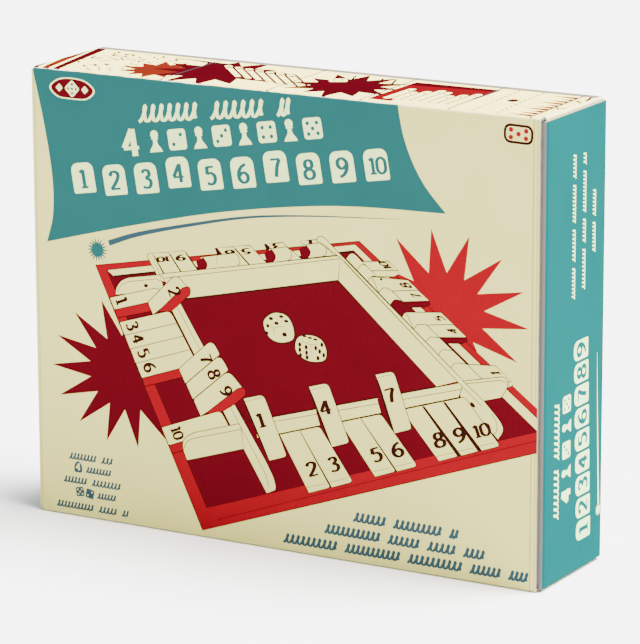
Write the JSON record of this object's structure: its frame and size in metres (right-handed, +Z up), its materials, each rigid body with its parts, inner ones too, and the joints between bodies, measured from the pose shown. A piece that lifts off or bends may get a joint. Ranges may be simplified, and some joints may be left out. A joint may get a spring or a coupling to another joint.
{
  "type": "board game box",
  "caption": "Upright folding carton for a board game, with end flaps that open and a four-sided flip-tile game board, dice and leaflet inside.",
  "frame": {"origin": "centre of the box's underside, on the surface that it stands on", "axes": "+X along the front to the right-hand end, +Y from the front panel to the back panel, +Z up"},
  "size_m": [0.32, 0.073, 0.256],
  "materials": {
    "printed_board": "cream print under satin varnish on fine corrugated board",
    "printed_end": "teal print under satin varnish on fine corrugated board",
    "plain_board": "uncoated white-grey board",
    "insert_card": "uncoated grey-brown folded card",
    "red_wood": "bright red painted wood, satin",
    "floor_felt": "dark red felt-faced wood panel",
    "cream_wood": "pale lacquered wood",
    "steel": "drawn steel rod",
    "die_plastic": "polished ivory plastic",
    "paper": "uncoated folded paper",
    "ink_teal": "teal print",
    "ink_dark_red": "dark red print",
    "ink_bright_red": "bright red print",
    "ink_orange": "orange print",
    "ink_brown": "dark brown line print",
    "ink_slate": "slate blue print",
    "ink_cream": "cream print"
  },
  "bodies": {
    "carton": {"carton_sleeve": "printed_board", "card_insert": "insert_card"},
    "right_end": {"right_end_panel": "printed_end"},
    "right_tuck": {"right_tuck_flap": "plain_board"},
    "right_top_dust": {"right_top_dust_flap": "plain_board"},
    "right_bottom_dust": {"right_bottom_dust_flap": "plain_board"},
    "left_end": {"left_end_panel": "printed_end"},
    "left_tuck": {"left_tuck_flap": "plain_board"},
    "left_top_dust": {"left_top_dust_flap": "plain_board"},
    "left_bottom_dust": {"left_bottom_dust_flap": "plain_board"},
    "board": {"board_base": "floor_felt", "board_rim": "red_wood", "wall_frame": "cream_wood", "right_rod": "steel", "top_rod": "steel", "left_rod": "steel", "bottom_rod": "steel"},
    "right_tile_01": {"right_tile_01": "cream_wood"},
    "right_tile_02": {"right_tile_02": "cream_wood"},
    "right_tile_03": {"right_tile_03": "cream_wood"},
    "right_tile_04": {"right_tile_04": "cream_wood"},
    "right_tile_05": {"right_tile_05": "cream_wood"},
    "right_tile_06": {"right_tile_06": "cream_wood"},
    "right_tile_07": {"right_tile_07": "cream_wood"},
    "right_tile_08": {"right_tile_08": "cream_wood"},
    "right_tile_09": {"right_tile_09": "cream_wood"},
    "right_tile_10": {"right_tile_10": "cream_wood"},
    "top_tile_01": {"top_tile_01": "cream_wood"},
    "top_tile_02": {"top_tile_02": "cream_wood"},
    "top_tile_03": {"top_tile_03": "cream_wood"},
    "top_tile_04": {"top_tile_04": "cream_wood"},
    "top_tile_05": {"top_tile_05": "cream_wood"},
    "top_tile_06": {"top_tile_06": "cream_wood"},
    "top_tile_07": {"top_tile_07": "cream_wood"},
    "top_tile_08": {"top_tile_08": "cream_wood"},
    "top_tile_09": {"top_tile_09": "cream_wood"},
    "top_tile_10": {"top_tile_10": "cream_wood"},
    "left_tile_01": {"left_tile_01": "cream_wood"},
    "left_tile_02": {"left_tile_02": "cream_wood"},
    "left_tile_03": {"left_tile_03": "cream_wood"},
    "left_tile_04": {"left_tile_04": "cream_wood"},
    "left_tile_05": {"left_tile_05": "cream_wood"},
    "left_tile_06": {"left_tile_06": "cream_wood"},
    "left_tile_07": {"left_tile_07": "cream_wood"},
    "left_tile_08": {"left_tile_08": "cream_wood"},
    "left_tile_09": {"left_tile_09": "cream_wood"},
    "left_tile_10": {"left_tile_10": "cream_wood"},
    "bottom_tile_01": {"bottom_tile_01": "cream_wood"},
    "bottom_tile_02": {"bottom_tile_02": "cream_wood"},
    "bottom_tile_03": {"bottom_tile_03": "cream_wood"},
    "bottom_tile_04": {"bottom_tile_04": "cream_wood"},
    "bottom_tile_05": {"bottom_tile_05": "cream_wood"},
    "bottom_tile_06": {"bottom_tile_06": "cream_wood"},
    "bottom_tile_07": {"bottom_tile_07": "cream_wood"},
    "bottom_tile_08": {"bottom_tile_08": "cream_wood"},
    "bottom_tile_09": {"bottom_tile_09": "cream_wood"},
    "bottom_tile_10": {"bottom_tile_10": "cream_wood"},
    "die_1": {"die_1": "die_plastic"},
    "die_2": {"die_2": "die_plastic"},
    "leaflet": {"instruction_leaflet": "paper"}
  },
  "joints": [
    {"name": "right_end_fold", "type": "hinge", "parent": "carton", "child": "right_end", "pos_m": [0.1592, 0.0357, 0.128], "axis": [0, 0, 1], "range_deg": [0, 180]},
    {"name": "right_tuck_fold", "type": "hinge", "parent": "right_end", "child": "right_tuck", "pos_m": [0.1592, -0.0338, 0.128], "axis": [0, 0, 1], "range_deg": [0, 90]},
    {"name": "right_top_dust_fold", "type": "hinge", "parent": "carton", "child": "right_top_dust", "pos_m": [0.1572, 0, 0.2552], "axis": [0, -1, 0], "range_deg": [0, 90]},
    {"name": "right_bottom_dust_fold", "type": "hinge", "parent": "carton", "child": "right_bottom_dust", "pos_m": [0.1572, 0, 0.0008], "axis": [0, 1, 0], "range_deg": [0, 90]},
    {"name": "left_end_fold", "type": "hinge", "parent": "carton", "child": "left_end", "pos_m": [-0.1592, 0.0357, 0.128], "axis": [0, 0, -1], "range_deg": [0, 180]},
    {"name": "left_tuck_fold", "type": "hinge", "parent": "left_end", "child": "left_tuck", "pos_m": [-0.1592, -0.0338, 0.128], "axis": [0, 0, -1], "range_deg": [0, 90]},
    {"name": "left_top_dust_fold", "type": "hinge", "parent": "carton", "child": "left_top_dust", "pos_m": [-0.1572, 0, 0.2552], "axis": [0, 1, 0], "range_deg": [0, 90]},
    {"name": "left_bottom_dust_fold", "type": "hinge", "parent": "carton", "child": "left_bottom_dust", "pos_m": [-0.1572, 0, 0.0008], "axis": [0, -1, 0], "range_deg": [0, 90]},
    {"name": "board_slide", "type": "slide", "parent": "carton", "child": "board", "axis": [0, -1, 0], "range_m": [0, 0.004]},
    {"name": "right_tile_01_flip", "type": "hinge", "parent": "board", "child": "right_tile_01", "pos_m": [0.0805, 0.0132, 0.06705], "axis": [0, 0, -1], "range_deg": [0, 107.1]},
    {"name": "right_tile_02_flip", "type": "hinge", "parent": "board", "child": "right_tile_02", "pos_m": [0.0805, 0.0132, 0.08015], "axis": [0, 0, -1], "range_deg": [0, 107.1]},
    {"name": "right_tile_03_flip", "type": "hinge", "parent": "board", "child": "right_tile_03", "pos_m": [0.0805, 0.0132, 0.09325], "axis": [0, 0, -1], "range_deg": [0, 107.1]},
    {"name": "right_tile_04_flip", "type": "hinge", "parent": "board", "child": "right_tile_04", "pos_m": [0.0805, 0.0132, 0.10635], "axis": [0, 0, -1], "range_deg": [0, 107.1]},
    {"name": "right_tile_05_flip", "type": "hinge", "parent": "board", "child": "right_tile_05", "pos_m": [0.0805, 0.0132, 0.11945], "axis": [0, 0, -1], "range_deg": [0, 107.1]},
    {"name": "right_tile_06_flip", "type": "hinge", "parent": "board", "child": "right_tile_06", "pos_m": [0.0805, 0.0132, 0.13255], "axis": [0, 0, -1], "range_deg": [0, 107.1]},
    {"name": "right_tile_07_flip", "type": "hinge", "parent": "board", "child": "right_tile_07", "pos_m": [0.0805, 0.0132, 0.14565], "axis": [0, 0, -1], "range_deg": [0, 107.1]},
    {"name": "right_tile_08_flip", "type": "hinge", "parent": "board", "child": "right_tile_08", "pos_m": [0.0805, 0.0132, 0.15875], "axis": [0, 0, -1], "range_deg": [0, 107.1]},
    {"name": "right_tile_09_flip", "type": "hinge", "parent": "board", "child": "right_tile_09", "pos_m": [0.0805, 0.0132, 0.17185], "axis": [0, 0, -1], "range_deg": [0, 107.1]},
    {"name": "right_tile_10_flip", "type": "hinge", "parent": "board", "child": "right_tile_10", "pos_m": [0.0805, 0.0132, 0.18495], "axis": [0, 0, -1], "range_deg": [0, 107.1]},
    {"name": "top_tile_01_flip", "type": "hinge", "parent": "board", "child": "top_tile_01", "pos_m": [0.05895, 0.0132, 0.2065], "axis": [1, 0, 0], "range_deg": [-107.1, 0]},
    {"name": "top_tile_02_flip", "type": "hinge", "parent": "board", "child": "top_tile_02", "pos_m": [0.04585, 0.0132, 0.2065], "axis": [1, 0, 0], "range_deg": [-107.1, 0]},
    {"name": "top_tile_03_flip", "type": "hinge", "parent": "board", "child": "top_tile_03", "pos_m": [0.03275, 0.0132, 0.2065], "axis": [1, 0, 0], "range_deg": [-107.1, 0]},
    {"name": "top_tile_04_flip", "type": "hinge", "parent": "board", "child": "top_tile_04", "pos_m": [0.01965, 0.0132, 0.2065], "axis": [1, 0, 0], "range_deg": [-107.1, 0]},
    {"name": "top_tile_05_flip", "type": "hinge", "parent": "board", "child": "top_tile_05", "pos_m": [0.00655, 0.0132, 0.2065], "axis": [1, 0, 0], "range_deg": [-107.1, 0]},
    {"name": "top_tile_06_flip", "type": "hinge", "parent": "board", "child": "top_tile_06", "pos_m": [-0.00655, 0.0132, 0.2065], "axis": [1, 0, 0], "range_deg": [-107.1, 0]},
    {"name": "top_tile_07_flip", "type": "hinge", "parent": "board", "child": "top_tile_07", "pos_m": [-0.01965, 0.0132, 0.2065], "axis": [1, 0, 0], "range_deg": [-107.1, 0]},
    {"name": "top_tile_08_flip", "type": "hinge", "parent": "board", "child": "top_tile_08", "pos_m": [-0.03275, 0.0132, 0.2065], "axis": [1, 0, 0], "range_deg": [-107.1, 0]},
    {"name": "top_tile_09_flip", "type": "hinge", "parent": "board", "child": "top_tile_09", "pos_m": [-0.04585, 0.0132, 0.2065], "axis": [1, 0, 0], "range_deg": [-107.1, 0]},
    {"name": "top_tile_10_flip", "type": "hinge", "parent": "board", "child": "top_tile_10", "pos_m": [-0.05895, 0.0132, 0.2065], "axis": [1, 0, 0], "range_deg": [-107.1, 0]},
    {"name": "left_tile_01_flip", "type": "hinge", "parent": "board", "child": "left_tile_01", "pos_m": [-0.0805, 0.0132, 0.18495], "axis": [0, 0, 1], "range_deg": [0, 107.1]},
    {"name": "left_tile_02_flip", "type": "hinge", "parent": "board", "child": "left_tile_02", "pos_m": [-0.0805, 0.0132, 0.17185], "axis": [0, 0, 1], "range_deg": [0, 107.1]},
    {"name": "left_tile_03_flip", "type": "hinge", "parent": "board", "child": "left_tile_03", "pos_m": [-0.0805, 0.0132, 0.15875], "axis": [0, 0, 1], "range_deg": [0, 107.1]},
    {"name": "left_tile_04_flip", "type": "hinge", "parent": "board", "child": "left_tile_04", "pos_m": [-0.0805, 0.0132, 0.14565], "axis": [0, 0, 1], "range_deg": [0, 107.1]},
    {"name": "left_tile_05_flip", "type": "hinge", "parent": "board", "child": "left_tile_05", "pos_m": [-0.0805, 0.0132, 0.13255], "axis": [0, 0, 1], "range_deg": [0, 107.1]},
    {"name": "left_tile_06_flip", "type": "hinge", "parent": "board", "child": "left_tile_06", "pos_m": [-0.0805, 0.0132, 0.11945], "axis": [0, 0, 1], "range_deg": [0, 107.1]},
    {"name": "left_tile_07_flip", "type": "hinge", "parent": "board", "child": "left_tile_07", "pos_m": [-0.0805, 0.0132, 0.10635], "axis": [0, 0, 1], "range_deg": [0, 107.1]},
    {"name": "left_tile_08_flip", "type": "hinge", "parent": "board", "child": "left_tile_08", "pos_m": [-0.0805, 0.0132, 0.09325], "axis": [0, 0, 1], "range_deg": [0, 107.1]},
    {"name": "left_tile_09_flip", "type": "hinge", "parent": "board", "child": "left_tile_09", "pos_m": [-0.0805, 0.0132, 0.08015], "axis": [0, 0, 1], "range_deg": [0, 107.1]},
    {"name": "left_tile_10_flip", "type": "hinge", "parent": "board", "child": "left_tile_10", "pos_m": [-0.0805, 0.0132, 0.06705], "axis": [0, 0, 1], "range_deg": [0, 107.1]},
    {"name": "bottom_tile_01_flip", "type": "hinge", "parent": "board", "child": "bottom_tile_01", "pos_m": [-0.05895, 0.0132, 0.0455], "axis": [-1, 0, 0], "range_deg": [0, 107.1]},
    {"name": "bottom_tile_02_flip", "type": "hinge", "parent": "board", "child": "bottom_tile_02", "pos_m": [-0.04585, 0.0132, 0.0455], "axis": [-1, 0, 0], "range_deg": [0, 107.1]},
    {"name": "bottom_tile_03_flip", "type": "hinge", "parent": "board", "child": "bottom_tile_03", "pos_m": [-0.03275, 0.0132, 0.0455], "axis": [-1, 0, 0], "range_deg": [0, 107.1]},
    {"name": "bottom_tile_04_flip", "type": "hinge", "parent": "board", "child": "bottom_tile_04", "pos_m": [-0.01965, 0.0132, 0.0455], "axis": [-1, 0, 0], "range_deg": [0, 107.1]},
    {"name": "bottom_tile_05_flip", "type": "hinge", "parent": "board", "child": "bottom_tile_05", "pos_m": [-0.00655, 0.0132, 0.0455], "axis": [-1, 0, 0], "range_deg": [0, 107.1]},
    {"name": "bottom_tile_06_flip", "type": "hinge", "parent": "board", "child": "bottom_tile_06", "pos_m": [0.00655, 0.0132, 0.0455], "axis": [-1, 0, 0], "range_deg": [0, 107.1]},
    {"name": "bottom_tile_07_flip", "type": "hinge", "parent": "board", "child": "bottom_tile_07", "pos_m": [0.01965, 0.0132, 0.0455], "axis": [-1, 0, 0], "range_deg": [0, 107.1]},
    {"name": "bottom_tile_08_flip", "type": "hinge", "parent": "board", "child": "bottom_tile_08", "pos_m": [0.03275, 0.0132, 0.0455], "axis": [-1, 0, 0], "range_deg": [0, 107.1]},
    {"name": "bottom_tile_09_flip", "type": "hinge", "parent": "board", "child": "bottom_tile_09", "pos_m": [0.04585, 0.0132, 0.0455], "axis": [-1, 0, 0], "range_deg": [0, 107.1]},
    {"name": "bottom_tile_10_flip", "type": "hinge", "parent": "board", "child": "bottom_tile_10", "pos_m": [0.05895, 0.0132, 0.0455], "axis": [-1, 0, 0], "range_deg": [0, 107.1]},
    {"name": "die_1_slide", "type": "slide", "parent": "board", "child": "die_1", "axis": [0, -1, 0], "range_m": [0, 0.035]},
    {"name": "die_2_slide", "type": "slide", "parent": "board", "child": "die_2", "axis": [0, -1, 0], "range_m": [0, 0.035]},
    {"name": "leaflet_slide", "type": "slide", "parent": "carton", "child": "leaflet", "axis": [0, 0, 1], "range_m": [0, 0.1]}
  ],
  "couplings": [
    {"joint": "right_tuck_fold", "follows": "right_end_fold", "ratio": 0.5},
    {"joint": "right_top_dust_fold", "follows": "right_end_fold", "ratio": 0.5},
    {"joint": "right_bottom_dust_fold", "follows": "right_end_fold", "ratio": 0.5},
    {"joint": "left_tuck_fold", "follows": "left_end_fold", "ratio": 0.5},
    {"joint": "left_top_dust_fold", "follows": "left_end_fold", "ratio": 0.5},
    {"joint": "left_bottom_dust_fold", "follows": "left_end_fold", "ratio": 0.5}
  ]
}
